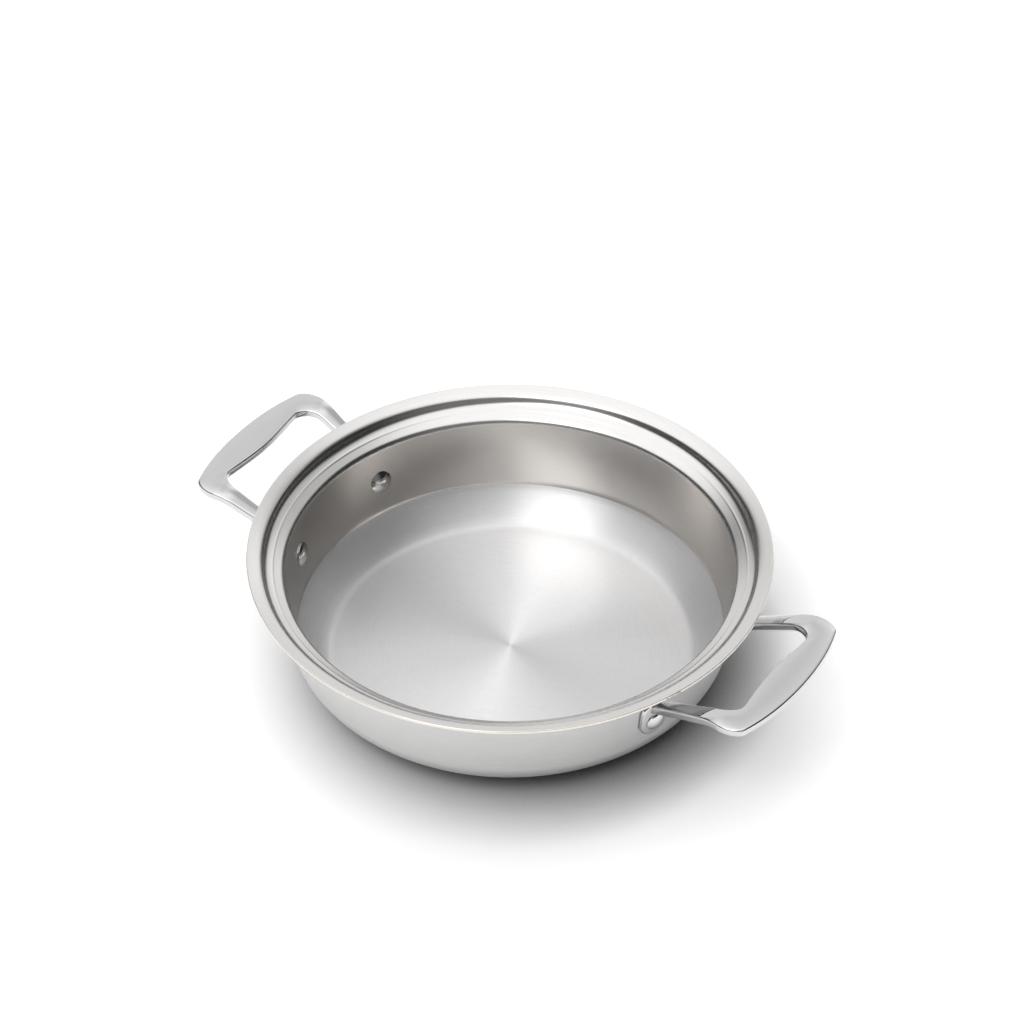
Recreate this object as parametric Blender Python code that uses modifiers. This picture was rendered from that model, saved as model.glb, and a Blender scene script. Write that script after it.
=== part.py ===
"""A two-handled saucepan with a flared rim, in metres, standing on z = 0 with its handles along X.

The body is drawn from a bonded sheet: a steel liner, an aluminium core and a steel shell. The core
ends under the ledge, so that the two steel skins close on each other at the lip. Two cast loop
handles hug the wall with a tab at each foot, and each tab is held by one domed rivet.
"""
import math

import bmesh
import bpy
from mathutils import Matrix, Vector
from mathutils.geometry import interpolate_bezier

# Gap kept between faces that touch on the real pan
CONTACT_GAP = 0.0003

# Layers of the bonded sheet, from the inside out
LINER_THICKNESS = 0.0006
CORE_THICKNESS = 0.0012
SHELL_THICKNESS = 0.0006

# Inner surface from the lip to the base: the run inwards and the drop of each stretch
LIP_RADIUS = 0.130
LIP_RUN = 0.0072
LIP_DROP = 0.0026
STEP_RUN = 0.0027
STEP_DROP = 0.0023
LEDGE_RUN = 0.0084
LEDGE_DROP = 0.0050
WALL_RUN = 0.0046
WALL_DROP = 0.0383
HEEL_RUN = 0.0166
HEEL_DROP = 0.0161

# Bends of the inner surface, and how far short of the step the core ends
LEDGE_BEND = 0.0035
HEEL_TOP_BEND = 0.0040
HEEL_FOOT_BEND = 0.0060
CORE_SETBACK = 0.0052

# Rivets: their spacing is measured straight across the two of one handle, on the wall's outer face
RIVET_SPACING = 0.0699
RIVET_DEPTH = 0.0300
SHANK_RADIUS = 0.0030
INNER_HEAD_RADIUS = 0.0060
INNER_HEAD_HEIGHT = 0.0022
OUTER_HEAD_RADIUS = 0.0052
OUTER_HEAD_HEIGHT = 0.0019
HEAD_RIM = 0.0004

# Tabs that the handles are riveted by
TAB_WIDTH = 0.0160
TAB_THICKNESS = 0.0020
TAB_STRAIGHT = 0.0072
TAB_DROP = 0.0012
TAB_EDGE = 0.0014

# Loop of a handle, seen from above
OPENING_DEPTH = 0.0208
OPENING_WIDTH = 0.0704
HANDLE_WIDTH = 0.0926
GRIP_WIDTH = 0.0180
LEG_WIDTH = 0.0074

# Loop of a handle, seen from the side
GRIP_THICKNESS = 0.0046
LEG_THICKNESS = 0.0050
GRIP_DEPTH = 0.0025
KNEE_REACH = 0.0150
KNEE_BEND = 0.0255
LEG_TO_RIVET_GAP = 0.0022
THINNING_START = 0.0050
THINNING_END = 0.0165
BAR_EDGE = 0.0011
BAR_CROWN = 0.0003

# Fineness of the round shapes
ROUND_STEPS = 48
LEDGE_BEND_STEPS = 3
HEEL_BEND_STEPS = 2
RIVET_STEPS = 20
DOME_STEPS = 4
HOLE_STEPS = 20
TAB_STEPS = 24
TAB_STRIPS = 6
LEG_SECTIONS = 7
CORNER_SECTIONS = 7
GRIP_SECTIONS = 5

SHEET_THICKNESS = LINER_THICKNESS + CORE_THICKNESS + SHELL_THICKNESS + 2 * CONTACT_GAP
STRETCHES = (
    (LIP_RUN, LIP_DROP),
    (STEP_RUN, STEP_DROP),
    (LEDGE_RUN, LEDGE_DROP),
    (WALL_RUN, WALL_DROP),
    (HEEL_RUN, HEEL_DROP),
)
LIP_HEIGHT = SHEET_THICKNESS + sum(drop for _, drop in STRETCHES)
TAPER = math.atan2(WALL_RUN, WALL_DROP)


def clear_scene():
    """Start from an empty scene."""
    for obj in list(bpy.data.objects):
        bpy.data.objects.remove(obj, do_unlink=True)


def new_collection(name):
    collection = bpy.data.collections.new(name)
    bpy.context.scene.collection.children.link(collection)
    return collection


def metal(name, color, roughness):
    """A bare metal."""
    material = bpy.data.materials.new(name)
    material.use_nodes = True
    shader = material.node_tree.nodes["Principled BSDF"]
    shader.inputs["Base Color"].default_value = (*color, 1.0)
    shader.inputs["Metallic"].default_value = 1.0
    shader.inputs["Roughness"].default_value = roughness
    return material


def new_object(name, mesh, collection, material=None):
    obj = bpy.data.objects.new(name, mesh)
    collection.objects.link(obj)
    if material and not mesh.materials:
        mesh.materials.append(material)
    return obj


def new_cutter(name, mesh, collection):
    """An object that only shapes others."""
    obj = new_object(name, mesh, collection)
    obj.display_type = "WIRE"
    obj.hide_render = True
    return obj


def boolean(obj, operation, other):
    modifier = obj.modifiers.new(other.name, "BOOLEAN")
    modifier.operation = operation
    modifier.object = other
    return modifier


def turned_object(name, profile, collection, material, steps):
    """A closed body of revolution about its own Z, from a profile of radius and height."""
    mesh = bpy.data.meshes.new(name)
    points = [(radius, 0.0, height) for radius, height in profile]
    mesh.from_pydata(points, [(i, i + 1) for i in range(len(points) - 1)], [])
    obj = new_object(name, mesh, collection, material)
    screw = obj.modifiers.new("Turn", "SCREW")
    screw.angle = 2 * math.pi
    screw.steps = steps
    screw.render_steps = steps
    screw.use_merge_vertices = True
    screw.merge_threshold = 0.00001
    screw.use_smooth_shade = True
    return obj


# Profile of the body


def inner_corners():
    """Corners of the inner surface as radius and height, from the lip's edge to the axis."""
    radius, height = LIP_RADIUS, LIP_HEIGHT
    corners = [Vector((radius, height))]
    for run, drop in STRETCHES:
        radius -= run
        height -= drop
        corners.append(Vector((radius, height)))
    corners.append(Vector((0.0, height)))
    return corners


def offset_corners(depths):
    """The inner corners moved into the sheet, with one depth for each stretch between them."""
    corners = inner_corners()
    lines = []
    for start, end, depth in zip(corners, corners[1:], depths):
        along = (end - start).normalized()
        outward = Vector((-along.y, along.x))
        lines.append((start + outward * depth, along))
    moved = []
    first, along = lines[0]
    moved.append(first + along * (LIP_RADIUS - first.x) / along.x)
    for (here, along), (there, onward) in zip(lines, lines[1:]):
        across = along.x * onward.y - along.y * onward.x
        between = there - here
        moved.append(here + along * (between.x * onward.y - between.y * onward.x) / across)
    moved.append(Vector((0.0, lines[-1][0].y)))
    return moved


def bend(before, corner, after, radius, steps):
    """Points of the arc that rounds a corner."""
    back = (before - corner).normalized()
    ahead = (after - corner).normalized()
    half = 0.5 * back.angle(ahead)
    centre = corner + (back + ahead).normalized() * radius / math.sin(half)
    start = corner + back * radius / math.tan(half) - centre
    turn = -start.angle_signed(corner + ahead * radius / math.tan(half) - centre)
    return [centre + Matrix.Rotation(turn * i / steps, 2) @ start for i in range(steps + 1)]


def surface(depths):
    """One face of a layer from the lip to the axis, with its bends rounded alike through the sheet."""
    _, step_top, step_foot, ledge_edge, heel_top, heel_foot, _ = corners = offset_corners(depths)
    depth = depths[-1]
    path = [corners[0], step_top, step_foot]
    path += bend(step_foot, ledge_edge, heel_top, LEDGE_BEND - depth, LEDGE_BEND_STEPS)
    path += bend(ledge_edge, heel_top, heel_foot, HEEL_TOP_BEND + depth, HEEL_BEND_STEPS)
    path += bend(heel_top, heel_foot, corners[-1], HEEL_FOOT_BEND + depth, HEEL_BEND_STEPS)
    path.append(corners[-1])
    return path


def even(depth):
    """The same depth for every stretch."""
    return [depth] * (len(STRETCHES) + 1)


def under_liner(depth):
    """Depths that follow the core's underside up to the ledge and close on the liner at the lip."""
    lip_depth = depth - CORE_THICKNESS - CONTACT_GAP
    step_depth = 0.5 * (depth + lip_depth)
    return [lip_depth, step_depth] + [depth] * (len(STRETCHES) - 1)


def cut_short(path, radius):
    """The path without what lies outside a radius."""
    kept = [point for point in path if point.x < radius]
    outside = path[len(path) - len(kept) - 1]
    share = (radius - kept[0].x) / (outside.x - kept[0].x)
    return [kept[0].lerp(outside, share)] + kept


def layer_profile(inner, outer):
    """A layer's section, out along its inner face and back along its outer one."""
    return list(reversed(inner)) + outer


def body_layers(collection, materials):
    """The three layers of the sheet, each a closed body."""
    core_top = LINER_THICKNESS + CONTACT_GAP
    core_bottom = core_top + CORE_THICKNESS
    shell_top = core_bottom + CONTACT_GAP
    core_end = LIP_RADIUS - LIP_RUN - STEP_RUN - CORE_SETBACK
    liner = layer_profile(surface(even(0.0)), surface(even(LINER_THICKNESS)))
    core = layer_profile(
        cut_short(surface(even(core_top)), core_end),
        cut_short(surface(even(core_bottom)), core_end),
    )
    shell = layer_profile(surface(under_liner(shell_top)), surface(under_liner(SHEET_THICKNESS)))
    return [
        turned_object("inner_liner", liner, collection, materials["liner"], ROUND_STEPS),
        turned_object("aluminium_core", core, collection, materials["core"], ROUND_STEPS),
        turned_object("outer_shell", shell, collection, materials["shell"], ROUND_STEPS),
    ]


# Places on the wall


def wall_seat():
    """Radius and height of the rivets' axes on the wall's outer face."""
    height = LIP_HEIGHT - RIVET_DEPTH
    ledge_edge, heel_top = offset_corners(even(SHEET_THICKNESS))[3:5]
    share = (height - heel_top.y) / (ledge_edge.y - heel_top.y)
    return heel_top.x + share * (ledge_edge.x - heel_top.x), height


def rivet_angle():
    """Angle from the X axis to a rivet, about the pan's axis."""
    return math.asin(0.5 * RIVET_SPACING / wall_seat()[0])


def on_wall(along, up, out, angle):
    """A place given from the rivet's seat: along the wall's round, up its slope and out from its face."""
    radius, height = wall_seat()
    turn = angle + along / radius
    radius += up * math.sin(TAPER) + out * math.cos(TAPER)
    height += up * math.cos(TAPER) - out * math.sin(TAPER)
    return Vector((radius * math.cos(turn), radius * math.sin(turn), height))


def seat_matrix(angle):
    """Frame on the wall's outer face with Z along the rivet, outwards."""
    out = Vector((math.cos(TAPER), 0.0, -math.sin(TAPER)))
    tilt = out.to_track_quat("Z", "Y").to_matrix().to_4x4()
    radius, height = wall_seat()
    return Matrix.Rotation(angle, 4, "Z") @ Matrix.Translation((radius, 0.0, height)) @ tilt


# Rivets


def dome(radius, height):
    """Half of a round cap from its rim to its top, as radius and height above the rim."""
    sphere = (radius * radius + height * height) / (2 * height)
    reach = math.asin(radius / sphere)
    angles = [reach * (1 - i / DOME_STEPS) for i in range(DOME_STEPS + 1)]
    return [(sphere * math.sin(a), sphere * (math.cos(a) - 1) + height) for a in angles]


def rivet_profile():
    """A rivet's section, from its outer head's top to its inner head's, with 0 on the wall's outer face."""
    inner_radius = wall_seat()[0] - SHEET_THICKNESS
    hollow = inner_radius - math.sqrt(inner_radius ** 2 - INNER_HEAD_RADIUS ** 2)
    flat = inner_radius * (1 - math.cos(math.pi / ROUND_STEPS))
    outer_seat = TAB_THICKNESS + 2 * CONTACT_GAP
    inner_seat = -SHEET_THICKNESS - CONTACT_GAP - hollow - flat
    outer_dome = [(r, outer_seat + HEAD_RIM + h) for r, h in dome(OUTER_HEAD_RADIUS, OUTER_HEAD_HEIGHT)]
    inner_dome = [(r, inner_seat - HEAD_RIM - h) for r, h in dome(INNER_HEAD_RADIUS, INNER_HEAD_HEIGHT)]
    profile = list(reversed(outer_dome))
    profile += [(OUTER_HEAD_RADIUS, outer_seat), (SHANK_RADIUS, outer_seat)]
    profile += [(SHANK_RADIUS, inner_seat), (INNER_HEAD_RADIUS, inner_seat)]
    return profile + inner_dome


def rivet(name, angle, collection, material):
    obj = turned_object(name, rivet_profile(), collection, material, RIVET_STEPS)
    obj.matrix_world = seat_matrix(angle)
    return obj


def rivet_holes(angles, cutters):
    """Round holes for all the shanks, through the body and the tabs, as one cutter."""
    inner_head = SHEET_THICKNESS + INNER_HEAD_RADIUS
    outer_head = TAB_THICKNESS + OUTER_HEAD_RADIUS
    length = inner_head + outer_head
    shape = bmesh.new()
    for angle in angles:
        middle = Matrix.Translation((0.0, 0.0, 0.5 * (outer_head - inner_head)))
        bmesh.ops.create_cone(
            shape,
            cap_ends=True,
            segments=HOLE_STEPS,
            radius1=SHANK_RADIUS + CONTACT_GAP,
            radius2=SHANK_RADIUS + CONTACT_GAP,
            depth=length,
            matrix=seat_matrix(angle) @ middle,
        )
    mesh = bpy.data.meshes.new("rivet_holes")
    shape.to_mesh(mesh)
    shape.free()
    return new_cutter("rivet_holes", mesh, cutters)


# Handles


def heading(degrees):
    return Vector((math.cos(math.radians(degrees)), math.sin(math.radians(degrees))))


def smooth_path(knots):
    """Points along a curve through knots of place, direction in degrees, arm behind and arm ahead."""
    counts = (LEG_SECTIONS, CORNER_SECTIONS, GRIP_SECTIONS)
    points = []
    for (start, leave, _, ahead), (end, arrive, behind, _), count in zip(knots, knots[1:], counts):
        first_arm = start + heading(leave) * ahead
        last_arm = end - heading(arrive) * behind
        points += interpolate_bezier(start, first_arm, last_arm, end, count + 1)[:-1]
    points.append(knots[-1][0])
    return points


def root_point(across):
    """Foot of a leg inside its tab, this far beside the rivet in the Y direction."""
    radius = wall_seat()[0] + CONTACT_GAP + 0.5 * TAB_THICKNESS + leg_rise() * math.tan(TAPER)
    y = radius * math.sin(rivet_angle()) + across
    return Vector((math.sqrt(radius * radius - y * y), y))


def leg_rise():
    """Height of a leg's middle above the rivet where it leaves the tab."""
    return OUTER_HEAD_RADIUS + LEG_TO_RIVET_GAP + 0.5 * LEG_THICKNESS


def outer_outline():
    """Half of the loop's outer edge, from the foot of the leg to the middle of the grip."""
    reach = LIP_RADIUS + OPENING_DEPTH + GRIP_WIDTH
    shoulder = Vector((reach - 0.0196, 0.5 * HANDLE_WIDTH))
    corner = Vector((reach - 0.0062, 0.5 * HANDLE_WIDTH - 0.0052))
    foot = root_point(0.5 * LEG_WIDTH)
    return smooth_path([
        (foot, 6, 0.0, 0.0119),
        (shoulder, 11, 0.0137, 0.0040),
        (corner, -71, 0.0048, 0.0135),
        (Vector((reach, 0.0)), -90, 0.0143, 0.0),
    ])


def inner_outline():
    """Half of the finger opening's edge, with the grip swelling towards its middle."""
    reach = LIP_RADIUS + OPENING_DEPTH
    shoulder = Vector((reach - 0.0084, 0.5 * OPENING_WIDTH))
    corner = Vector((reach + 0.0023, 0.5 * OPENING_WIDTH - 0.0080))
    foot = root_point(-0.5 * LEG_WIDTH)
    return smooth_path([
        (foot, 9, 0.0, 0.0110),
        (shoulder, 2, 0.0100, 0.0059),
        (corner, -95, 0.0039, 0.0094),
        (Vector((reach, 0.0)), -90, 0.0094, 0.0),
    ])


def top_height(x):
    """Height of the loop's top: a straight rising leg, a wide knee and a level grip."""
    root_x = on_wall(0.0, leg_rise(), CONTACT_GAP + TAB_THICKNESS, rivet_angle()).x
    knee_x = LIP_RADIUS + KNEE_REACH
    level = LIP_HEIGHT - GRIP_DEPTH
    root = wall_seat()[1] + leg_rise() + 0.5 * LEG_THICKNESS
    slope = math.atan2(level - root, knee_x - root_x)
    tangent = KNEE_BEND * math.tan(0.5 * slope)
    if x > knee_x + tangent:
        return level
    if x < knee_x - tangent * math.cos(slope):
        return level - (knee_x - x) * math.tan(slope)
    return level - KNEE_BEND + math.sqrt(KNEE_BEND ** 2 - (knee_x + tangent - x) ** 2)


def bar_thickness(x):
    """Upright thickness of the loop, which thins from the legs to the grip."""
    share = (x - LIP_RADIUS - THINNING_START) / (THINNING_END - THINNING_START)
    share = min(max(share, 0.0), 1.0)
    share = share * share * (3 - 2 * share)
    return LEG_THICKNESS + share * (GRIP_THICKNESS - LEG_THICKNESS)


def bar_section(inner, outer):
    """Rounded section of the loop, upright, between its two edges seen from above."""
    across = outer - inner
    width = across.length
    edge, soft = BAR_EDGE, 0.3 * BAR_EDGE
    points = []
    for along, share, inset in (
        (edge, 0.0, BAR_CROWN),
        (0.5 * width, 0.0, 0.0),
        (width - edge, 0.0, BAR_CROWN),
        (width - soft, 0.0, BAR_CROWN + soft),
        (width, 0.0, BAR_CROWN + edge),
        (width, 1.0, -edge),
        (width - soft, 1.0, -soft),
        (width - edge, 1.0, 0.0),
        (edge, 1.0, 0.0),
        (soft, 1.0, -soft),
        (0.0, 1.0, -edge),
        (0.0, 0.0, BAR_CROWN + edge),
        (soft, 0.0, BAR_CROWN + soft),
    ):
        place = inner + across * along / width
        depth = share * bar_thickness(place.x) + inset
        points.append(Vector((place.x, place.y, top_height(place.x) - depth)))
    return points


def half_loop_mesh():
    """Half of the loop as a loft of sections, open on the plane that it is mirrored in."""
    shape = bmesh.new()
    rings = []
    for inner, outer in zip(inner_outline(), outer_outline()):
        rings.append([shape.verts.new(point) for point in bar_section(inner, outer)])
    shape.faces.new(rings[0])
    for ring, following in zip(rings, rings[1:]):
        for i in range(len(ring)):
            j = (i + 1) % len(ring)
            shape.faces.new((ring[i], following[i], following[j], ring[j]))
    bmesh.ops.recalc_face_normals(shape, faces=shape.faces)
    mesh = bpy.data.meshes.new("half_loop")
    shape.to_mesh(mesh)
    shape.free()
    return mesh


def tab_mesh():
    """A tab with round ends, made flat with softened outer edges and then pressed round the wall."""
    shape = bmesh.new()
    bmesh.ops.create_circle(shape, cap_ends=True, segments=TAB_STEPS, radius=0.5 * TAB_WIDTH)
    for vert in shape.verts:
        if vert.co.y > 0.0:
            vert.co.y += TAB_STRAIGHT
        vert.co.y -= TAB_DROP
    face = shape.faces[:]
    raised = bmesh.ops.extrude_face_region(shape, geom=face)["geom"]
    top = [item for item in raised if isinstance(item, bmesh.types.BMVert)]
    bmesh.ops.translate(shape, verts=top, vec=(0.0, 0.0, TAB_THICKNESS))
    rim = [edge for edge in shape.edges if all(vert in top for vert in edge.verts)]
    bmesh.ops.bevel(shape, geom=rim, offset=TAB_EDGE, segments=2, profile=0.5, affect="EDGES")
    for i in range(1, TAB_STRIPS):
        cut = TAB_WIDTH * (i / TAB_STRIPS - 0.5)
        whole = shape.verts[:] + shape.edges[:] + shape.faces[:]
        bmesh.ops.bisect_plane(shape, geom=whole, plane_co=(cut, 0, 0), plane_no=(1, 0, 0))
    for vert in shape.verts:
        along, up, out = vert.co
        vert.co = on_wall(along, up, out + CONTACT_GAP, rivet_angle())
    bmesh.ops.recalc_face_normals(shape, faces=shape.faces)
    mesh = bpy.data.meshes.new("tab")
    shape.to_mesh(mesh)
    shape.free()
    return mesh


def mirror_halves(obj):
    """Mirror about the plane of the handles' length."""
    mirror = obj.modifiers.new("Both sides", "MIRROR")
    mirror.use_axis = (False, True, False)
    mirror.merge_threshold = 0.00001
    return mirror


def handle(name, turn, loop, tab, holes, collection, cutters, material):
    """A loop joined to its two tabs and drilled for the rivets."""
    tabs = new_cutter(name + "_tabs", tab, cutters)
    tabs.rotation_euler.z = turn
    mirror_halves(tabs)
    obj = new_object(name, loop, collection, material)
    obj.rotation_euler.z = turn
    mirror_halves(obj)
    boolean(obj, "UNION", tabs)
    boolean(obj, "DIFFERENCE", holes)
    return obj


def build():
    clear_scene()
    parts = new_collection("saucepan")
    cutters = new_collection("saucepan_cutters")
    polished = metal("polished steel", (0.80, 0.79, 0.78), 0.12)
    materials = {
        "liner": metal("brushed steel inside", (0.74, 0.73, 0.72), 0.28),
        "core": metal("aluminium", (0.86, 0.87, 0.88), 0.40),
        "shell": metal("brushed steel outside", (0.76, 0.75, 0.74), 0.25),
    }
    angle = rivet_angle()
    places = {
        "rivet_right_near": -angle,
        "rivet_right_far": angle,
        "rivet_left_near": math.pi + angle,
        "rivet_left_far": math.pi - angle,
    }
    holes = rivet_holes(places.values(), cutters)
    for layer in body_layers(parts, materials):
        boolean(layer, "DIFFERENCE", holes)
    loop = half_loop_mesh()
    loop.shade_smooth()
    loop.set_sharp_from_angle(angle=math.radians(50))
    tab = tab_mesh()
    handle("handle_right", 0.0, loop, tab, holes, parts, cutters, polished)
    handle("handle_left", math.pi, loop, tab, holes, parts, cutters, polished)
    for name, place in places.items():
        rivet(name, place, parts, polished)


build()
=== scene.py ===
"""Looks of the two-handled saucepan: fine meshes, brushed and polished steel, and soft studio light."""
import math

import bmesh
import bpy
from mathutils import Matrix, Vector
from mathutils.geometry import interpolate_bezier


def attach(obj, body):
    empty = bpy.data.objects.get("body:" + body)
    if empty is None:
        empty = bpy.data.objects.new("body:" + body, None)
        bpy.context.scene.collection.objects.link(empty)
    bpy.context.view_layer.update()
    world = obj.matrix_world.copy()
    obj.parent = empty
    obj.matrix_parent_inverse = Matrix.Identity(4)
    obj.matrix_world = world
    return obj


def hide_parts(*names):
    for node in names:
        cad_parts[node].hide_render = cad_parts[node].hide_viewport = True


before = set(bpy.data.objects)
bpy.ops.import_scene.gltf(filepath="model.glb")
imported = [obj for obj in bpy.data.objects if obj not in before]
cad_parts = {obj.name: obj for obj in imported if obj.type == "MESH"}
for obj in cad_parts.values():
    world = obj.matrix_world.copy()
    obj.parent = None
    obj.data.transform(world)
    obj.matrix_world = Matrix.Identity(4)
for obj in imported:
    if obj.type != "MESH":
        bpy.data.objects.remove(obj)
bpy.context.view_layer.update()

# Bonded sheet, in metres
SHEET_THICKNESS = 0.0030
LIP_THICKNESS = 0.0015

# Inner surface from the lip to the base: the run inwards and the drop of each stretch
LIP_RADIUS = 0.130
LIP_STRETCH = (0.0072, 0.0026)
STEP_STRETCH = (0.0027, 0.0023)
LEDGE_STRETCH = (0.0084, 0.0050)
WALL_STRETCH = (0.0046, 0.0383)
HEEL_STRETCH = (0.0166, 0.0161)
STRETCHES = (LIP_STRETCH, STEP_STRETCH, LEDGE_STRETCH, WALL_STRETCH, HEEL_STRETCH)
LIP_HEIGHT = SHEET_THICKNESS + sum(drop for _, drop in STRETCHES)
TAPER = math.atan2(*WALL_STRETCH)

# The wall's ends among the corners between the stretches
WALL_TOP = STRETCHES.index(WALL_STRETCH)
WALL_FOOT = WALL_TOP + 1

# Bends of the lip's edge and of the inner surface, which the bends of the outer face run level with
LIP_EDGE_BEND = 0.0004
LIP_FOOT_BEND = 0.0003
STEP_TOP_BEND = 0.0009
STEP_FOOT_BEND = 0.0012
LEDGE_BEND = 0.0035
HEEL_TOP_BEND = 0.0130
HEEL_FOOT_BEND = 0.0060

# Slope of the inner surface in degrees, by the distance along it from the lip's edge to the wall:
# the lip rolls into a steep step and out of it to the ledge, which has a shallow turned line
RIM_SLOPES = (
    (0.0000, 15), (0.0040, 18), (0.0058, 23), (0.0073, 38), (0.0084, 58), (0.0094, 64), (0.0104, 54),
    (0.0116, 35), (0.0128, 26), (0.0138, 26), (0.0144, 16), (0.0152, 37), (0.0158, 27), (0.0210, 27),
)

# The same from the wall's foot to the floor's edge: the heel flattens slowly, and a shallow turned line
# marks where the floor begins
HEEL_SLOPES = (
    (0.0000, 56), (0.0164, 41), (0.0208, 31), (0.0240, 7), (0.0247, 4), (0.0250, 14), (0.0253, -8),
    (0.0256, 1), (0.0273, 0),
)
FLOOR_EDGE_RADIUS = 0.0865

# Steps of the two curves, and how many of them give a curve's direction to the bend at its end
RIM_STEPS = 84
RIM_END_STEPS = 6
HEEL_STEPS = 110
HEEL_END_STEPS = 14

# Dimple in the floor's middle, as radius and depth
DIMPLE = ((0.0014, 0.0), (0.0008, 0.00006), (0.0, 0.0001))

# Rivets
RIVET_SPACING = 0.0699
RIVET_DEPTH = 0.0300
SHANK_RADIUS = 0.0030
INNER_HEAD_RADIUS = 0.0060
INNER_HEAD_HEIGHT = 0.0022
OUTER_HEAD_RADIUS = 0.0052
OUTER_HEAD_HEIGHT = 0.0019
HEAD_RIM = 0.0004
CONTACT_GAP = 0.0003

# Tabs and loops of the handles
TAB_WIDTH = 0.0160
TAB_THICKNESS = 0.0020
TAB_STRAIGHT = 0.0072
TAB_DROP = 0.0012
TAB_EDGE = 0.0014
OPENING_DEPTH = 0.0208
OPENING_WIDTH = 0.0704
HANDLE_WIDTH = 0.0926
GRIP_WIDTH = 0.0180
LEG_WIDTH = 0.0074
GRIP_THICKNESS = 0.0046
LEG_THICKNESS = 0.0050
GRIP_DEPTH = 0.0025
KNEE_REACH = 0.0150
KNEE_BEND = 0.0255
LEG_TO_RIVET_GAP = 0.0022
THINNING_START = 0.0050
THINNING_END = 0.0165
BAR_EDGE = 0.0011
BAR_CROWN = 0.0003

# The loop's two edges seen from above, half of each. First comes the direction in degrees in which it
# leaves the leg's foot, with its arm. Then come two knots: how far each lies in from the edge's reach
# and from its half width, its direction, and its arms behind and ahead. Last is the grip's arm
OUTER_EDGE = (
    (6, 0.0119),
    (0.0196, 0.0, 11, 0.0137, 0.0040),
    (0.0062, 0.0052, -71, 0.0048, 0.0135),
    0.0143,
)
INNER_EDGE = (
    (9, 0.0110),
    (0.0084, 0.0, 2, 0.0100, 0.0059),
    (-0.0023, 0.0080, -95, 0.0039, 0.0094),
    0.0094,
)

# Fineness of the round shapes
ROUND_STEPS = 256
BEND_STEPS = 8
RIVET_STEPS = 48
DOME_STEPS = 12
EDGE_STEPS = 4
CROWN_STEPS = 6
TAB_STEPS = 48
TAB_EDGE_STEPS = 6
TAB_STRIPS = 16
LOOP_SECTIONS = (20, 22, 16)
FLOOR_STEPS = 96

# Edges sharper than these angles stay sharp
RIVET_CREASE = math.radians(50)
HANDLE_CREASE = math.radians(40)

# What is nearer to the axis than this lies on it, and points nearer to each other are one
AXIS_RADIUS = 0.00001
MERGE_DISTANCE = 0.00001

# Finishes of the sheet's zones, brushed or turned round the pan's axis. Grooves are counted in a metre
# of the profile, depth is theirs in metres, and fan is how far the tint changes round the axis
SHEET_FINISHES = {
    "underside": dict(
        name="spun steel underneath", color=(0.70, 0.69, 0.68), roughness=0.36, anisotropy=0.7,
        grooves=1200.0, depth=0.000006,
    ),
    "outside": dict(
        name="satin steel outside", color=(0.70, 0.695, 0.69), roughness=0.32, anisotropy=0.7,
        grooves=1200.0, depth=0.000004,
    ),
    "edge": dict(
        name="polished steel edge", color=(0.78, 0.74, 0.68), roughness=0.12, anisotropy=0.0,
        grooves=2200.0, depth=0.000001,
    ),
    "rim": dict(
        name="turned steel rim", color=(0.70, 0.69, 0.68), roughness=0.24, anisotropy=0.5,
        grooves=1200.0, depth=0.000001,
    ),
    "wall": dict(
        name="satin steel wall", color=(0.66, 0.63, 0.60), roughness=0.17, anisotropy=0.85,
        grooves=1000.0, depth=0.000002,
    ),
    "floor": dict(
        name="brushed steel floor", color=(0.80, 0.80, 0.805), roughness=0.41, anisotropy=0.9,
        grooves=1200.0, depth=0.000002, fan=0.008, metallic=0.93,
    ),
}

# Finishes of the cast and the headed pieces. Depth is that of their faint waves
HANDLE_FINISH = dict(name="polished cast steel", color=(0.63, 0.63, 0.635), roughness=0.065, depth=0.00003)
RIVET_FINISH = dict(name="mirror polished steel", color=(0.66, 0.65, 0.64), roughness=0.045, depth=0.00001)

# Fineness of the noise: for lines and fan in steps to a radian round the axis, with the fan's last
# number to a metre of the profile, and for the rest in steps to a metre
LINE_FINENESS = 9.0
FAN_FINENESS = (26.0, 26.0, 4.0)
CLOUD_FINENESS = 22.0
WAVE_FINENESS = 45.0
HAIRLINE_FINENESS = (300.0, 2600.0, 900.0)

# A noise value lies mostly between these
NOISE_LOW = 0.3
NOISE_HIGH = 0.7

# How far each noise changes the tint, which is 1 in the mean, and the roughness
LINE_TINT = 0.03
LINE_ROUGHNESS = 0.012
CLOUD_TINT = 0.01
CLOUD_ROUGHNESS = 0.01
WAVE_TINT = 0.015
WAVE_ROUGHNESS = 0.015
HAIRLINE_TINT = 0.015
HAIRLINE_ROUGHNESS = 0.01

# Strength of the relief, and the turn that lays the stretched highlights across the brushing
GROOVE_RELIEF = 0.5
WAVE_RELIEF = 0.4
ACROSS_THE_BRUSHING = 0.25

# Camera, fitted to the photograph, whose frame is 1024 pixels wide and high. The sensor is in millimetres
FRAME_PIXELS = 1024
FOCAL_PIXELS = 3900
SENSOR_WIDTH = 36.0
CAMERA_ELEVATION = math.radians(41.163)
CAMERA_AZIMUTH = math.radians(34.567)
CAMERA_ROLL = math.radians(-0.266)
CAMERA_DISTANCE = 1.9235
RIM_CENTRE_PIXEL = (509.99, 549.09)

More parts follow.
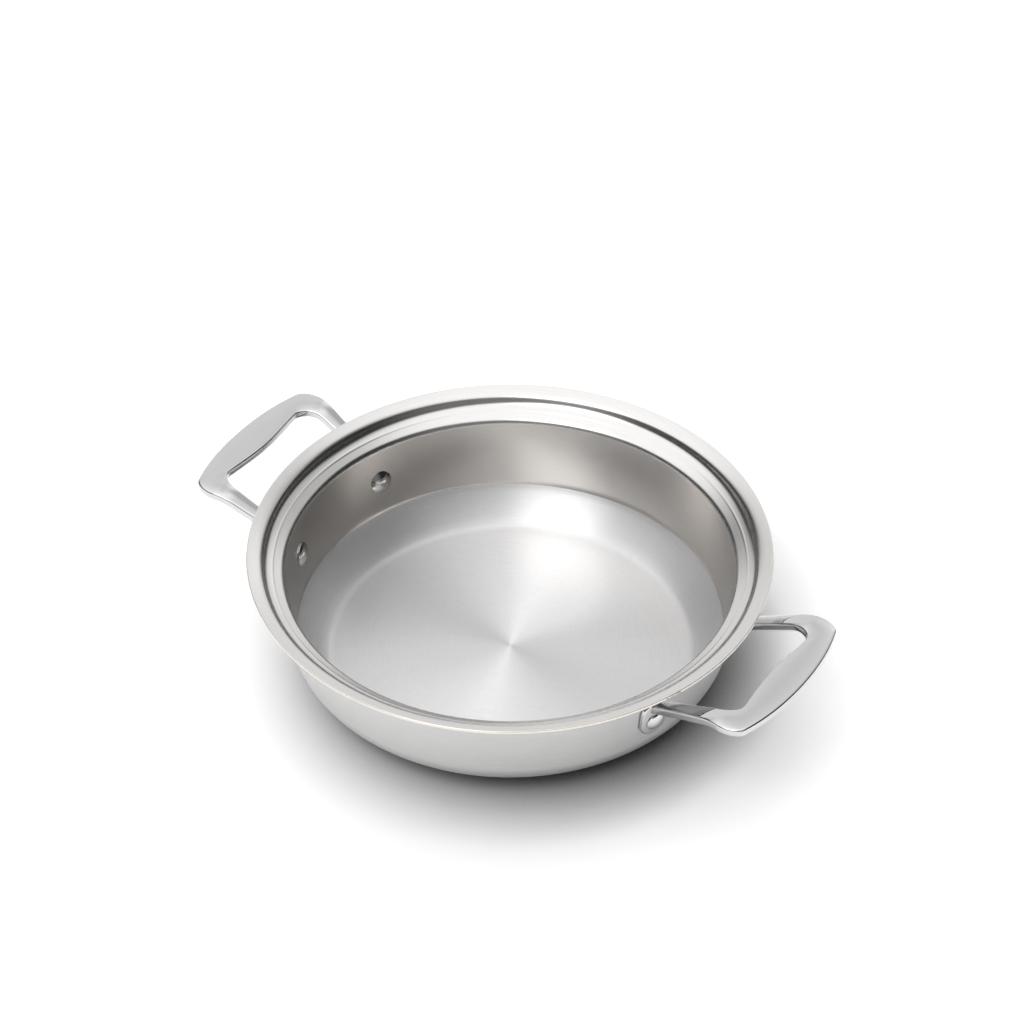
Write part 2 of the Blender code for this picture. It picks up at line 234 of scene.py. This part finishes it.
# Studio. Each soft box has its direction seen from the camera (right, away and up), the angles from
# its middle in degrees where its light starts to fade and ends, and its brightness
FLOOR_RADIUS = 9.0
FLOOR_BOUNCE = 0.5
FLOOR_WHITE = 1.40
ROOM_LEVEL = 0.025
SOFT_BOXES = (
    ("overhead", (-0.22, 0.0, 0.98), 27, 52, 1.35),
    ("back", (-0.02, 0.97, 0.22), 22, 46, 0.92),
    ("back right", (0.50, 0.57, 0.65), 10, 28, 0.58),
    ("front left", (-0.34, -0.54, 0.77), 5, 24, 2.2),
    ("front", (0.0, -0.95, 0.30), 22, 60, 0.17),
)

# Painted shadow on the floor: its colour is darkened close to the object, on the side away from this
# direction, which is given as the soft boxes' are. Reach is how near in metres, and power how dark
PAINTED_SHADE_TOWARD = (-0.53, 0.12, 0.84)
PAINTED_SHADE_REACH = 0.038
PAINTED_SHADE_POWER = 0.8
PAINTED_SHADE_SAMPLES = 8


def new_object(name, mesh, material=None):
    """A mesh's object in the scene, with one material if it is given."""
    obj = bpy.data.objects.new(name, mesh)
    bpy.context.scene.collection.objects.link(obj)
    if material:
        mesh.materials.append(material)
    return obj


def fill_mesh(name, shape):
    """Turn a bmesh into a mesh with its faces pointing out."""
    bmesh.ops.recalc_face_normals(shape, faces=shape.faces)
    mesh = bpy.data.meshes.new(name)
    shape.to_mesh(mesh)
    shape.free()
    return mesh


def turned_mesh(name, profile, steps, zones=None):
    """A closed body turned about Z. Zones gives the material index of each stretch of the profile."""
    shape = bmesh.new()
    rings = []
    for radius, height in profile:
        if radius < AXIS_RADIUS:
            rings.append([shape.verts.new((0.0, 0.0, height))] * steps)
            continue
        ring = []
        for i in range(steps):
            turn = 2 * math.pi * i / steps
            ring.append(shape.verts.new((radius * math.cos(turn), radius * math.sin(turn), height)))
        rings.append(ring)
    for index, (ring, following) in enumerate(zip(rings, rings[1:])):
        for i in range(steps):
            j = (i + 1) % steps
            corners = dict.fromkeys((ring[i], following[i], following[j], ring[j]))
            face = shape.faces.new(tuple(corners))
            face.smooth = True
            if zones:
                face.material_index = zones[index]
    return fill_mesh(name, shape)


# Profile of the body


def inner_corners():
    """Corners of the inner surface as radius and height, from the lip's edge to the axis."""
    radius, height = LIP_RADIUS, LIP_HEIGHT
    corners = [Vector((radius, height))]
    for run, drop in STRETCHES:
        radius -= run
        height -= drop
        corners.append(Vector((radius, height)))
    corners.append(Vector((0.0, height)))
    return corners


def offset_corners(depths):
    """The inner corners moved into the sheet, with one depth for each stretch and one for the floor."""
    corners = inner_corners()
    lines = []
    for start, end, depth in zip(corners, corners[1:], depths):
        along = (end - start).normalized()
        outward = Vector((-along.y, along.x))
        lines.append((start + outward * depth, along))
    first, along = lines[0]
    moved = [first + along * (LIP_RADIUS - first.x) / along.x]
    for (here, along), (there, onward) in zip(lines, lines[1:]):
        across = along.x * onward.y - along.y * onward.x
        between = there - here
        moved.append(here + along * (between.x * onward.y - between.y * onward.x) / across)
    moved.append(Vector((0.0, lines[-1][0].y)))
    return moved


def bend(before, corner, after, radius):
    """Points of the arc that rounds a corner."""
    back = (before - corner).normalized()
    ahead = (after - corner).normalized()
    half = 0.5 * back.angle(ahead)
    centre = corner + (back + ahead).normalized() * radius / math.sin(half)
    start = corner + back * radius / math.tan(half) - centre
    turn = -start.angle_signed(corner + ahead * radius / math.tan(half) - centre)
    return [centre + Matrix.Rotation(turn * i / BEND_STEPS, 2) @ start for i in range(BEND_STEPS + 1)]


def sloped_curve(slopes, steps, start, end):
    """A smooth curve between two points of the profile, worked out from its slopes along the way."""
    length = slopes[-1][0]
    points = [Vector((0.0, 0.0))]
    for i in range(steps):
        along = length * (i + 0.5) / steps
        for (near, slope), (far, next_slope) in zip(slopes, slopes[1:]):
            if near <= along <= far:
                slope = math.radians(slope + (next_slope - slope) * (along - near) / (far - near))
                break
        points.append(points[-1] - Vector((math.cos(slope), math.sin(slope))) * length / steps)
    # turned and stretched a little to end at the second point
    reach, target = points[-1], end - start
    turn = Matrix.Rotation(-reach.angle_signed(target), 2) * (target.length / reach.length)
    return [start + turn @ point for point in points]


def outside_points():
    """Corners of the outer face, and its points from the lip to the base with the bends in them."""
    step_depth = 0.5 * (LIP_THICKNESS + SHEET_THICKNESS)
    corners = offset_corners([LIP_THICKNESS, step_depth] + [SHEET_THICKNESS] * (len(STRETCHES) - 1))
    bends = (
        STEP_TOP_BEND + LIP_THICKNESS,
        STEP_FOOT_BEND,
        LEDGE_BEND - SHEET_THICKNESS,
        HEEL_TOP_BEND + SHEET_THICKNESS,
        HEEL_FOOT_BEND + SHEET_THICKNESS,
    )
    points = []
    for before, corner, after, radius in zip(corners, corners[1:], corners[2:], bends):
        points += bend(before, corner, after, radius)
    return corners, points


def body_profile():
    """The sheet's whole section as zones of points, from the underside's middle round to the floor's."""
    inner = inner_corners()
    outer, outside = outside_points()
    wall_top, wall_foot = inner[WALL_TOP], inner[WALL_FOOT]
    rim = sloped_curve(RIM_SLOPES, RIM_STEPS, inner[0], wall_top)
    heel = sloped_curve(HEEL_SLOPES, HEEL_STEPS, wall_foot, Vector((FLOOR_EDGE_RADIUS, SHEET_THICKNESS)))
    edge = bend(outer[1], outer[0], inner[0], LIP_FOOT_BEND)
    edge += bend(outer[0], rim[0], rim[RIM_END_STEPS], LIP_EDGE_BEND)
    ledge = bend(rim[-RIM_END_STEPS], rim[-1], wall_foot, LEDGE_BEND)
    heel_top = bend(wall_top, wall_foot, heel[HEEL_END_STEPS], HEEL_TOP_BEND)
    # the two curves without what their bends take the place of
    rim = [
        point for point in rim
        if (point - rim[0]).length > (edge[-1] - rim[0]).length
        and (point - rim[-1]).length > (ledge[0] - rim[-1]).length
    ]
    heel = [point for point in heel if (point - wall_foot).length > (heel_top[-1] - wall_foot).length]
    dimple = [Vector((r, SHEET_THICKNESS - h)) for r, h in DIMPLE]
    # a zone starts with the last point of the bend before it
    return (
        ("underside", [outer[-1]]),
        ("outside", outside[::-1]),
        ("edge", edge[:-1]),
        ("rim", edge[-1:] + rim + ledge[:-1]),
        ("wall", ledge[-1:] + heel_top[:BEND_STEPS // 2]),
        ("floor", heel_top[BEND_STEPS // 2:] + heel + dimple),
    )


def clad_body(materials):
    """The whole sheet as one turned body with a finish for each zone."""
    zones = body_profile()
    profile = [point for _, points in zones for point in points]
    order = list(materials)
    indices = [order.index(zone) for zone, points in zones for _ in points]
    mesh = turned_mesh("clad_body", profile, ROUND_STEPS, indices)
    for material in materials.values():
        mesh.materials.append(material)
    body = new_object("clad_body", mesh)
    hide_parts("inner_liner", "aluminium_core", "outer_shell")
    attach(body, "root")


# Places on the wall


def wall_seat():
    """Radius and height of the rivets' axes on the wall's outer face."""
    height = LIP_HEIGHT - RIVET_DEPTH
    corners = offset_corners([SHEET_THICKNESS] * (len(STRETCHES) + 1))
    top, foot = corners[WALL_TOP], corners[WALL_FOOT]
    share = (height - foot.y) / (top.y - foot.y)
    return foot.x + share * (top.x - foot.x), height


def rivet_angle():
    """Angle from the X axis to a rivet, about the pan's axis."""
    return math.asin(0.5 * RIVET_SPACING / wall_seat()[0])


def on_wall(along, up, out, angle):
    """A place given from the rivet's seat: along the wall's round, up its slope and out from its face."""
    radius, height = wall_seat()
    turn = angle + along / radius
    radius += up * math.sin(TAPER) + out * math.cos(TAPER)
    height += up * math.cos(TAPER) - out * math.sin(TAPER)
    return Vector((radius * math.cos(turn), radius * math.sin(turn), height))


def seat_matrix(angle):
    """Frame on the wall's outer face with Z along the rivet, outwards."""
    out = Vector((math.cos(TAPER), 0.0, -math.sin(TAPER)))
    tilt = out.to_track_quat("Z", "Y").to_matrix().to_4x4()
    radius, height = wall_seat()
    return Matrix.Rotation(angle, 4, "Z") @ Matrix.Translation((radius, 0.0, height)) @ tilt


# Rivets


def dome(radius, height):
    """Half of a round cap from its rim to its top, as radius and height above the rim."""
    sphere = (radius * radius + height * height) / (2 * height)
    reach = math.asin(radius / sphere)
    angles = [reach * (1 - i / DOME_STEPS) for i in range(DOME_STEPS + 1)]
    return [(sphere * math.sin(a), sphere * (math.cos(a) - 1) + height) for a in angles]


def rivet_profile():
    """A rivet's section from its outer head's top to its inner head's, from 0 on the wall's outer face."""
    inner_radius = wall_seat()[0] - SHEET_THICKNESS
    hollow = inner_radius - math.sqrt(inner_radius ** 2 - INNER_HEAD_RADIUS ** 2)
    outer_seat = TAB_THICKNESS + CONTACT_GAP
    inner_seat = -SHEET_THICKNESS - hollow
    outer_dome = [(r, outer_seat + HEAD_RIM + h) for r, h in dome(OUTER_HEAD_RADIUS, OUTER_HEAD_HEIGHT)]
    inner_dome = [(r, inner_seat - HEAD_RIM - h) for r, h in dome(INNER_HEAD_RADIUS, INNER_HEAD_HEIGHT)]
    profile = list(reversed(outer_dome))
    profile += [(OUTER_HEAD_RADIUS, outer_seat), (SHANK_RADIUS, outer_seat)]
    profile += [(SHANK_RADIUS, inner_seat), (INNER_HEAD_RADIUS, inner_seat)]
    return profile + inner_dome


def rivet(node, angle, material):
    """One rivet with both heads, at an angle about the pan's axis."""
    mesh = turned_mesh(node + "_fine", rivet_profile(), RIVET_STEPS)
    mesh.set_sharp_from_angle(angle=RIVET_CREASE)
    obj = new_object(node + "_fine", mesh, material)
    obj.matrix_world = seat_matrix(angle)
    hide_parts(node)
    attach(obj, "root")


# Handles


def heading(degrees):
    """A step of length 1 in a direction, seen from above."""
    return Vector((math.cos(math.radians(degrees)), math.sin(math.radians(degrees))))


def smooth_path(knots):
    """Points along a curve through knots of place, direction in degrees, arm behind and arm ahead."""
    points = []
    for (start, leave, _, ahead), (end, arrive, behind, _), count in zip(knots, knots[1:], LOOP_SECTIONS):
        first_arm = start + heading(leave) * ahead
        last_arm = end - heading(arrive) * behind
        points += interpolate_bezier(start, first_arm, last_arm, end, count + 1)[:-1]
    points.append(knots[-1][0])
    return points


def leg_rise():
    """Height of a leg's middle above the rivet where it leaves the tab."""
    return OUTER_HEAD_RADIUS + LEG_TO_RIVET_GAP + 0.5 * LEG_THICKNESS


def root_point(across):
    """Foot of a leg inside its tab, this far beside the rivet in the Y direction."""
    radius = wall_seat()[0] + CONTACT_GAP + 0.5 * TAB_THICKNESS + leg_rise() * math.tan(TAPER)
    y = radius * math.sin(rivet_angle()) + across
    return Vector((math.sqrt(radius * radius - y * y), y))


def half_edge(across, reach, width, shape):
    """Half of one of the loop's edges, from the foot of the leg to the middle of the grip."""
    (leave, foot_arm), shoulder, corner, grip_arm = shape
    knots = [(root_point(across), leave, 0.0, foot_arm)]
    for back, aside, direction, behind, ahead in (shoulder, corner):
        place = Vector((reach - back, 0.5 * width - aside))
        knots.append((place, direction, behind, ahead))
    knots.append((Vector((reach, 0.0)), -90, grip_arm, 0.0))
    return smooth_path(knots)


def outer_outline():
    """Half of the loop's outer edge."""
    reach = LIP_RADIUS + OPENING_DEPTH + GRIP_WIDTH
    return half_edge(0.5 * LEG_WIDTH, reach, HANDLE_WIDTH, OUTER_EDGE)


def inner_outline():
    """Half of the finger opening's edge, with the grip swelling towards its middle."""
    reach = LIP_RADIUS + OPENING_DEPTH
    return half_edge(-0.5 * LEG_WIDTH, reach, OPENING_WIDTH, INNER_EDGE)


def top_height(x):
    """Height of the loop's top: a straight rising leg, a wide knee and a level grip."""
    root_x = on_wall(0.0, leg_rise(), CONTACT_GAP + TAB_THICKNESS, rivet_angle()).x
    knee_x = LIP_RADIUS + KNEE_REACH
    level = LIP_HEIGHT - GRIP_DEPTH
    root = wall_seat()[1] + leg_rise() + 0.5 * LEG_THICKNESS
    slope = math.atan2(level - root, knee_x - root_x)
    tangent = KNEE_BEND * math.tan(0.5 * slope)
    if x > knee_x + tangent:
        return level
    if x < knee_x - tangent * math.cos(slope):
        return level - (knee_x - x) * math.tan(slope)
    return level - KNEE_BEND + math.sqrt(KNEE_BEND ** 2 - (knee_x + tangent - x) ** 2)


def bar_thickness(x):
    """Upright thickness of the loop, which thins from the legs to the grip."""
    share = (x - LIP_RADIUS - THINNING_START) / (THINNING_END - THINNING_START)
    share = min(max(share, 0.0), 1.0)
    share = share * share * (3 - 2 * share)
    return LEG_THICKNESS + share * (GRIP_THICKNESS - LEG_THICKNESS)


def rounded_edge(along, share, inward, downward):
    """One rounded edge of the section, as distance across, share of its depth and inset from there."""
    steps = []
    for i in range(EDGE_STEPS + 1):
        turn = 0.5 * math.pi * i / EDGE_STEPS
        steps.append((
            along + inward * BAR_EDGE * (1 - math.sin(turn)),
            share,
            downward * BAR_EDGE * (1 - math.cos(turn)),
        ))
    return steps


def section_outline(width):
    """Rounded outline of the loop's section, as distance across, share of its depth and inset."""
    top = []
    for i in range(1, CROWN_STEPS):
        place = BAR_EDGE + (width - 2 * BAR_EDGE) * i / CROWN_STEPS
        fall = (2 * i / CROWN_STEPS - 1) ** 2
        top.append((place, 0.0, BAR_CROWN * fall))
    outer_top = [(a, s, d + BAR_CROWN) for a, s, d in rounded_edge(width, 0.0, -1, 1)]
    outer_bottom = list(reversed(rounded_edge(width, 1.0, -1, -1)))
    inner_bottom = rounded_edge(0.0, 1.0, 1, -1)
    inner_top = [(a, s, d + BAR_CROWN) for a, s, d in reversed(rounded_edge(0.0, 0.0, 1, 1))]
    return top + outer_top + outer_bottom + inner_bottom + inner_top


def bar_section(inner, outer):
    """Rounded section of the loop, upright, between its two edges seen from above."""
    across = outer - inner
    width = across.length
    points = []
    for along, share, inset in section_outline(width):
        place = inner + across * along / width
        depth = share * bar_thickness(place.x) + inset
        points.append(Vector((place.x, place.y, top_height(place.x) - depth)))
    return points


def half_loop_mesh():
    """Half of the loop as a loft of sections, open on the plane that it is mirrored in."""
    shape = bmesh.new()
    rings = []
    for inner, outer in zip(inner_outline(), outer_outline()):
        rings.append([shape.verts.new(point) for point in bar_section(inner, outer)])
    shape.faces.new(rings[0])
    for ring, following in zip(rings, rings[1:]):
        for i in range(len(ring)):
            j = (i + 1) % len(ring)
            shape.faces.new((ring[i], following[i], following[j], ring[j]))
    return fill_mesh("half_loop", shape)


def tab_mesh():
    """A tab with round ends, made flat with softened outer edges and then pressed round the wall."""
    shape = bmesh.new()
    bmesh.ops.create_circle(shape, cap_ends=True, segments=TAB_STEPS, radius=0.5 * TAB_WIDTH)
    for vert in shape.verts:
        if vert.co.y > 0.0:
            vert.co.y += TAB_STRAIGHT
        vert.co.y -= TAB_DROP
    raised = bmesh.ops.extrude_face_region(shape, geom=shape.faces[:])["geom"]
    top = [item for item in raised if isinstance(item, bmesh.types.BMVert)]
    bmesh.ops.translate(shape, verts=top, vec=(0.0, 0.0, TAB_THICKNESS))
    rim = [edge for edge in shape.edges if all(vert in top for vert in edge.verts)]
    bmesh.ops.bevel(
        shape, geom=rim, offset=TAB_EDGE, segments=TAB_EDGE_STEPS, profile=0.5, affect="EDGES"
    )
    # cut into strips, so that it can follow the wall's round
    for i in range(1, TAB_STRIPS):
        cut = TAB_WIDTH * (i / TAB_STRIPS - 0.5)
        whole = shape.verts[:] + shape.edges[:] + shape.faces[:]
        bmesh.ops.bisect_plane(shape, geom=whole, plane_co=(cut, 0, 0), plane_no=(1, 0, 0))
    for vert in shape.verts:
        along, up, out = vert.co
        vert.co = on_wall(along, up, out + CONTACT_GAP, rivet_angle())
    return fill_mesh("tab", shape)


def mirrored(mesh, name):
    """Both halves of a mesh, joined where they meet in the plane of the handles' length."""
    shape = bmesh.new()
    shape.from_mesh(mesh)
    whole = shape.verts[:] + shape.edges[:] + shape.faces[:]
    bmesh.ops.mirror(shape, geom=whole, axis="Y", merge_dist=MERGE_DISTANCE)
    return fill_mesh(name, shape)


def handle(node, turn, material):
    """A loop joined to its two tabs."""
    loop = new_object(node + "_fine", mirrored(half_loop_mesh(), node + "_fine"), material)
    tabs = new_object(node + "_tabs", mirrored(tab_mesh(), node + "_tabs"), material)
    for obj in (loop, tabs):
        obj.data.transform(Matrix.Rotation(turn, 4, "Z"))
    union = loop.modifiers.new("tabs", "BOOLEAN")
    union.operation = "UNION"
    union.object = tabs
    evaluated = loop.evaluated_get(bpy.context.evaluated_depsgraph_get())
    joined = bpy.data.meshes.new_from_object(evaluated)
    loop.modifiers.clear()
    loop.data = joined
    bpy.data.objects.remove(tabs)
    for polygon in joined.polygons:
        polygon.use_smooth = True
    joined.set_sharp_from_angle(angle=HANDLE_CREASE)
    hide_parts(node)
    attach(loop, "root")


# Materials


class Graph:
    """The nodes of a material or world, built by short calls. Inputs are numbers, tuples or sockets."""

    def __init__(self, owner):
        owner.use_nodes = True
        self.tree = owner.node_tree
        self.shader = self.tree.nodes.get("Principled BSDF")

    def put(self, socket, value):
        """Link a socket to another, or set its value."""
        if isinstance(value, bpy.types.NodeSocket):
            self.tree.links.new(value, socket)
        else:
            socket.default_value = value

    def node(self, kind, settings=None, **inputs):
        """A new node. Its inputs go by their names, or as i0, i1 and so on by their numbers."""
        node = self.tree.nodes.new(kind)
        for key, value in (settings or {}).items():
            setattr(node, key, value)
        for key, value in inputs.items():
            index = int(key[1:]) if key[0] == "i" and key[1:].isdigit() else key.replace("_", " ")
            self.put(node.inputs[index], value)
        return node

    def math(self, operation, first, second=0.0):
        return self.node("ShaderNodeMath", {"operation": operation}, i0=first, i1=second).outputs[0]

    def total(self, first, *others):
        for other in others:
            first = self.math("ADD", first, other)
        return first

    def mix(self, share, first, second):
        node = self.node("ShaderNodeMix", {"data_type": "FLOAT"}, i0=share, i2=first, i3=second)
        return node.outputs[0]

    def scaled(self, vector, by):
        return self.node("ShaderNodeVectorMath", {"operation": "MULTIPLY"}, i0=vector, i1=by).outputs[0]

    def noise(self, vector, scale=1.0, detail=2.0, roughness=0.5):
        node = self.node(
            "ShaderNodeTexNoise", Vector=vector, Scale=scale, Detail=detail, Roughness=roughness
        )
        return node.outputs["Fac"]

    def vary(self, noise, amount, middle=0.0):
        """A noise value spread evenly to both sides of a middle."""
        node = self.node(
            "ShaderNodeMapRange",
            Value=noise,
            From_Min=NOISE_LOW,
            From_Max=NOISE_HIGH,
            To_Min=middle - amount,
            To_Max=middle + amount,
        )
        return node.outputs[0]

    def object_place(self):
        return self.node("ShaderNodeTexCoord").outputs["Object"]

    def round_place(self):
        """The place as its direction from the pan's axis and its distance along the pan's profile."""
        x, y, z = self.node("ShaderNodeSeparateXYZ", Vector=self.object_place()).outputs
        squares = self.total(self.math("MULTIPLY", x, x), self.math("MULTIPLY", y, y))
        radius = self.math("SQRT", squares)
        safe = self.math("MAXIMUM", radius, AXIS_RADIUS)
        place = self.node(
            "ShaderNodeCombineXYZ",
            X=self.math("DIVIDE", x, safe),
            Y=self.math("DIVIDE", y, safe),
            Z=self.total(radius, z),
        )
        return place.outputs[0]

    def finish(self, color, tint, roughness, relief):
        """Give the shader its colour, lighter and darker by the tint, its roughness and its relief."""
        paint = self.node("ShaderNodeVectorMath", {"operation": "SCALE"}, i0=color, Scale=tint)
        self.put(self.shader.inputs["Base Color"], paint.outputs[0])
        self.put(self.shader.inputs["Roughness"], roughness)
        self.put(self.shader.inputs["Normal"], relief.outputs[0])


def steel(name, color, roughness, anisotropy, grooves, depth, fan=0.0, metallic=1.0):
    """Steel brushed or turned round the pan's axis."""
    material = bpy.data.materials.new(name)
    g = Graph(material)
    place = g.round_place()
    lines = g.noise(g.scaled(place, (LINE_FINENESS, LINE_FINENESS, grooves)), detail=3.0, roughness=0.65)
    rays = g.noise(g.scaled(place, FAN_FINENESS), detail=2.0, roughness=0.6)
    clouds = g.noise(g.object_place(), scale=CLOUD_FINENESS, detail=3.0)
    tint = g.total(g.vary(lines, LINE_TINT), g.vary(rays, fan), g.vary(clouds, CLOUD_TINT, 1.0))
    rough = g.total(g.vary(clouds, CLOUD_ROUGHNESS, roughness), g.vary(lines, LINE_ROUGHNESS))
    relief = g.node("ShaderNodeBump", Strength=GROOVE_RELIEF, Distance=depth, Height=lines)
    g.finish(color, tint, rough, relief)
    around = g.node("ShaderNodeTangent", {"direction_type": "RADIAL", "axis": "Z"})
    g.put(g.shader.inputs["Tangent"], around.outputs[0])
    g.shader.inputs["Metallic"].default_value = metallic
    g.shader.inputs["Anisotropic"].default_value = anisotropy
    g.shader.inputs["Anisotropic Rotation"].default_value = ACROSS_THE_BRUSHING
    return material


def polished_steel(name, color, roughness, depth):
    """Polished steel with faint waves and hairlines."""
    material = bpy.data.materials.new(name)
    g = Graph(material)
    place = g.object_place()
    waves = g.noise(place, scale=WAVE_FINENESS, detail=2.0)
    hairlines = g.noise(g.scaled(place, HAIRLINE_FINENESS), detail=3.0, roughness=0.6)
    tint = g.total(g.vary(waves, WAVE_TINT, 1.0), g.vary(hairlines, HAIRLINE_TINT))
    rough = g.total(g.vary(waves, WAVE_ROUGHNESS, roughness), g.vary(hairlines, HAIRLINE_ROUGHNESS))
    relief = g.node("ShaderNodeBump", Strength=WAVE_RELIEF, Distance=depth, Height=waves)
    g.finish(color, tint, rough, relief)
    g.shader.inputs["Metallic"].default_value = 1.0
    return material


# Studio


def camera_frame():
    """The camera at the photograph's angle, aimed at the rim's centre, which lies off the frame's middle."""
    data = bpy.data.cameras.new("camera")
    data.sensor_width = SENSOR_WIDTH
    data.lens = SENSOR_WIDTH * FOCAL_PIXELS / FRAME_PIXELS
    across = RIM_CENTRE_PIXEL[0] - 0.5 * FRAME_PIXELS
    down = RIM_CENTRE_PIXEL[1] - 0.5 * FRAME_PIXELS
    data.shift_x = -across / FRAME_PIXELS
    data.shift_y = down / FRAME_PIXELS
    camera = bpy.data.objects.new("camera", data)
    bpy.context.scene.collection.objects.link(camera)
    level = CAMERA_DISTANCE * math.cos(CAMERA_ELEVATION)
    back = Vector((
        level * math.sin(CAMERA_AZIMUTH),
        -level * math.cos(CAMERA_AZIMUTH),
        CAMERA_DISTANCE * math.sin(CAMERA_ELEVATION),
    ))
    place = Matrix.Translation(Vector((0.0, 0.0, LIP_HEIGHT)) + back)
    aim = (-back).to_track_quat("-Z", "Y").to_matrix().to_4x4()
    # the roll turns the picture about the rim's centre, which the camera is aimed at
    camera.matrix_world = place @ aim @ Matrix.Rotation(CAMERA_ROLL, 4, "Z")
    bpy.context.scene.camera = camera


def from_camera(direction):
    """A direction of right, away and up, seen from the camera, as one in the scene."""
    return Matrix.Rotation(CAMERA_AZIMUTH, 3, "Z") @ Vector(direction).normalized()


def seen_directly(g):
    """1 where the camera sees a surface, also in a reflection or through glass, and 0 for its bounce."""
    rays = g.node("ShaderNodeLightPath").outputs
    seen = g.math("MAXIMUM", rays["Is Camera Ray"], rays["Is Glossy Ray"])
    seen = g.math("MAXIMUM", seen, rays["Is Transmission Ray"])
    return g.math("MULTIPLY", seen, g.math("LESS_THAN", rays["Diffuse Depth"], 0.5))


def floor_paint():
    """White where the light falls freely, with a painted shadow close to the object: an occlusion test
    darkens its colour.
    """
    material = bpy.data.materials.new("white floor with painted shadow")
    g = Graph(material)
    toward = from_camera(PAINTED_SHADE_TOWARD)
    side = g.node("ShaderNodeCombineXYZ", X=toward.x, Y=toward.y, Z=toward.z)
    # painted shadow: an occlusion test close to the object, its hemisphere leaning towards the main light
    open_sky = g.node(
        "ShaderNodeAmbientOcclusion",
        {"samples": PAINTED_SHADE_SAMPLES},
        Distance=PAINTED_SHADE_REACH,
        Normal=side.outputs[0],
    )
    painted_shade = g.math("POWER", open_sky.outputs["AO"], PAINTED_SHADE_POWER)
    tone = g.mix(seen_directly(g), FLOOR_BOUNCE, FLOOR_WHITE)
    # the floor's colour carries the painted shadow
    g.put(g.shader.inputs["Base Color"], g.math("MULTIPLY", tone, painted_shade))
    g.shader.inputs["Roughness"].default_value = 1.0
    g.shader.inputs["Specular IOR Level"].default_value = 0.0
    return material


def white_floor():
    """A wide pale floor."""
    shape = bmesh.new()
    bmesh.ops.create_circle(shape, cap_ends=True, segments=FLOOR_STEPS, radius=FLOOR_RADIUS)
    mesh = bpy.data.meshes.new("floor")
    shape.to_mesh(mesh)
    shape.free()
    new_object("floor", mesh, floor_paint())


def glow(g, place, toward, full, end, brightness):
    """Light from a round patch of sky, full out to one angle from its middle and gone at another."""
    middle = from_camera(toward)
    nearness = g.node("ShaderNodeVectorMath", {"operation": "DOT_PRODUCT"}, i0=place, i1=middle)
    fade = g.node(
        "ShaderNodeMapRange",
        {"interpolation_type": "SMOOTHSTEP"},
        Value=nearness.outputs["Value"],
        From_Min=math.cos(math.radians(end)),
        From_Max=math.cos(math.radians(full)),
        To_Min=0.0,
        To_Max=brightness,
    )
    return fade.outputs[0]


def soft_sky():
    """A dim room lit by large soft boxes. The camera sees white past the floor's end."""
    world = bpy.data.worlds.new("soft boxes")
    g = Graph(world)
    background = g.tree.nodes["Background"]
    place = g.node("ShaderNodeTexCoord").outputs["Generated"]
    light = ROOM_LEVEL
    for _, toward, full, end, brightness in SOFT_BOXES:
        light = g.total(light, glow(g, place, toward, full, end, brightness))
    camera_ray = g.node("ShaderNodeLightPath").outputs["Is Camera Ray"]
    g.put(background.inputs["Color"], g.mix(camera_ray, light, 1.0))
    background.inputs["Strength"].default_value = 1.0
    bpy.context.scene.world = world


def studio():
    white_floor()
    soft_sky()
    bpy.context.scene.view_settings.view_transform = "Standard"


def build():
    camera_frame()
    clad_body({zone: steel(**finish) for zone, finish in SHEET_FINISHES.items()})
    handle_steel = polished_steel(**HANDLE_FINISH)
    rivet_steel = polished_steel(**RIVET_FINISH)
    handle("handle_right", 0.0, handle_steel)
    handle("handle_left", math.pi, handle_steel)
    angle = rivet_angle()
    rivet("rivet_right_near", -angle, rivet_steel)
    rivet("rivet_right_far", angle, rivet_steel)
    rivet("rivet_left_near", math.pi + angle, rivet_steel)
    rivet("rivet_left_far", math.pi - angle, rivet_steel)
    studio()


build()
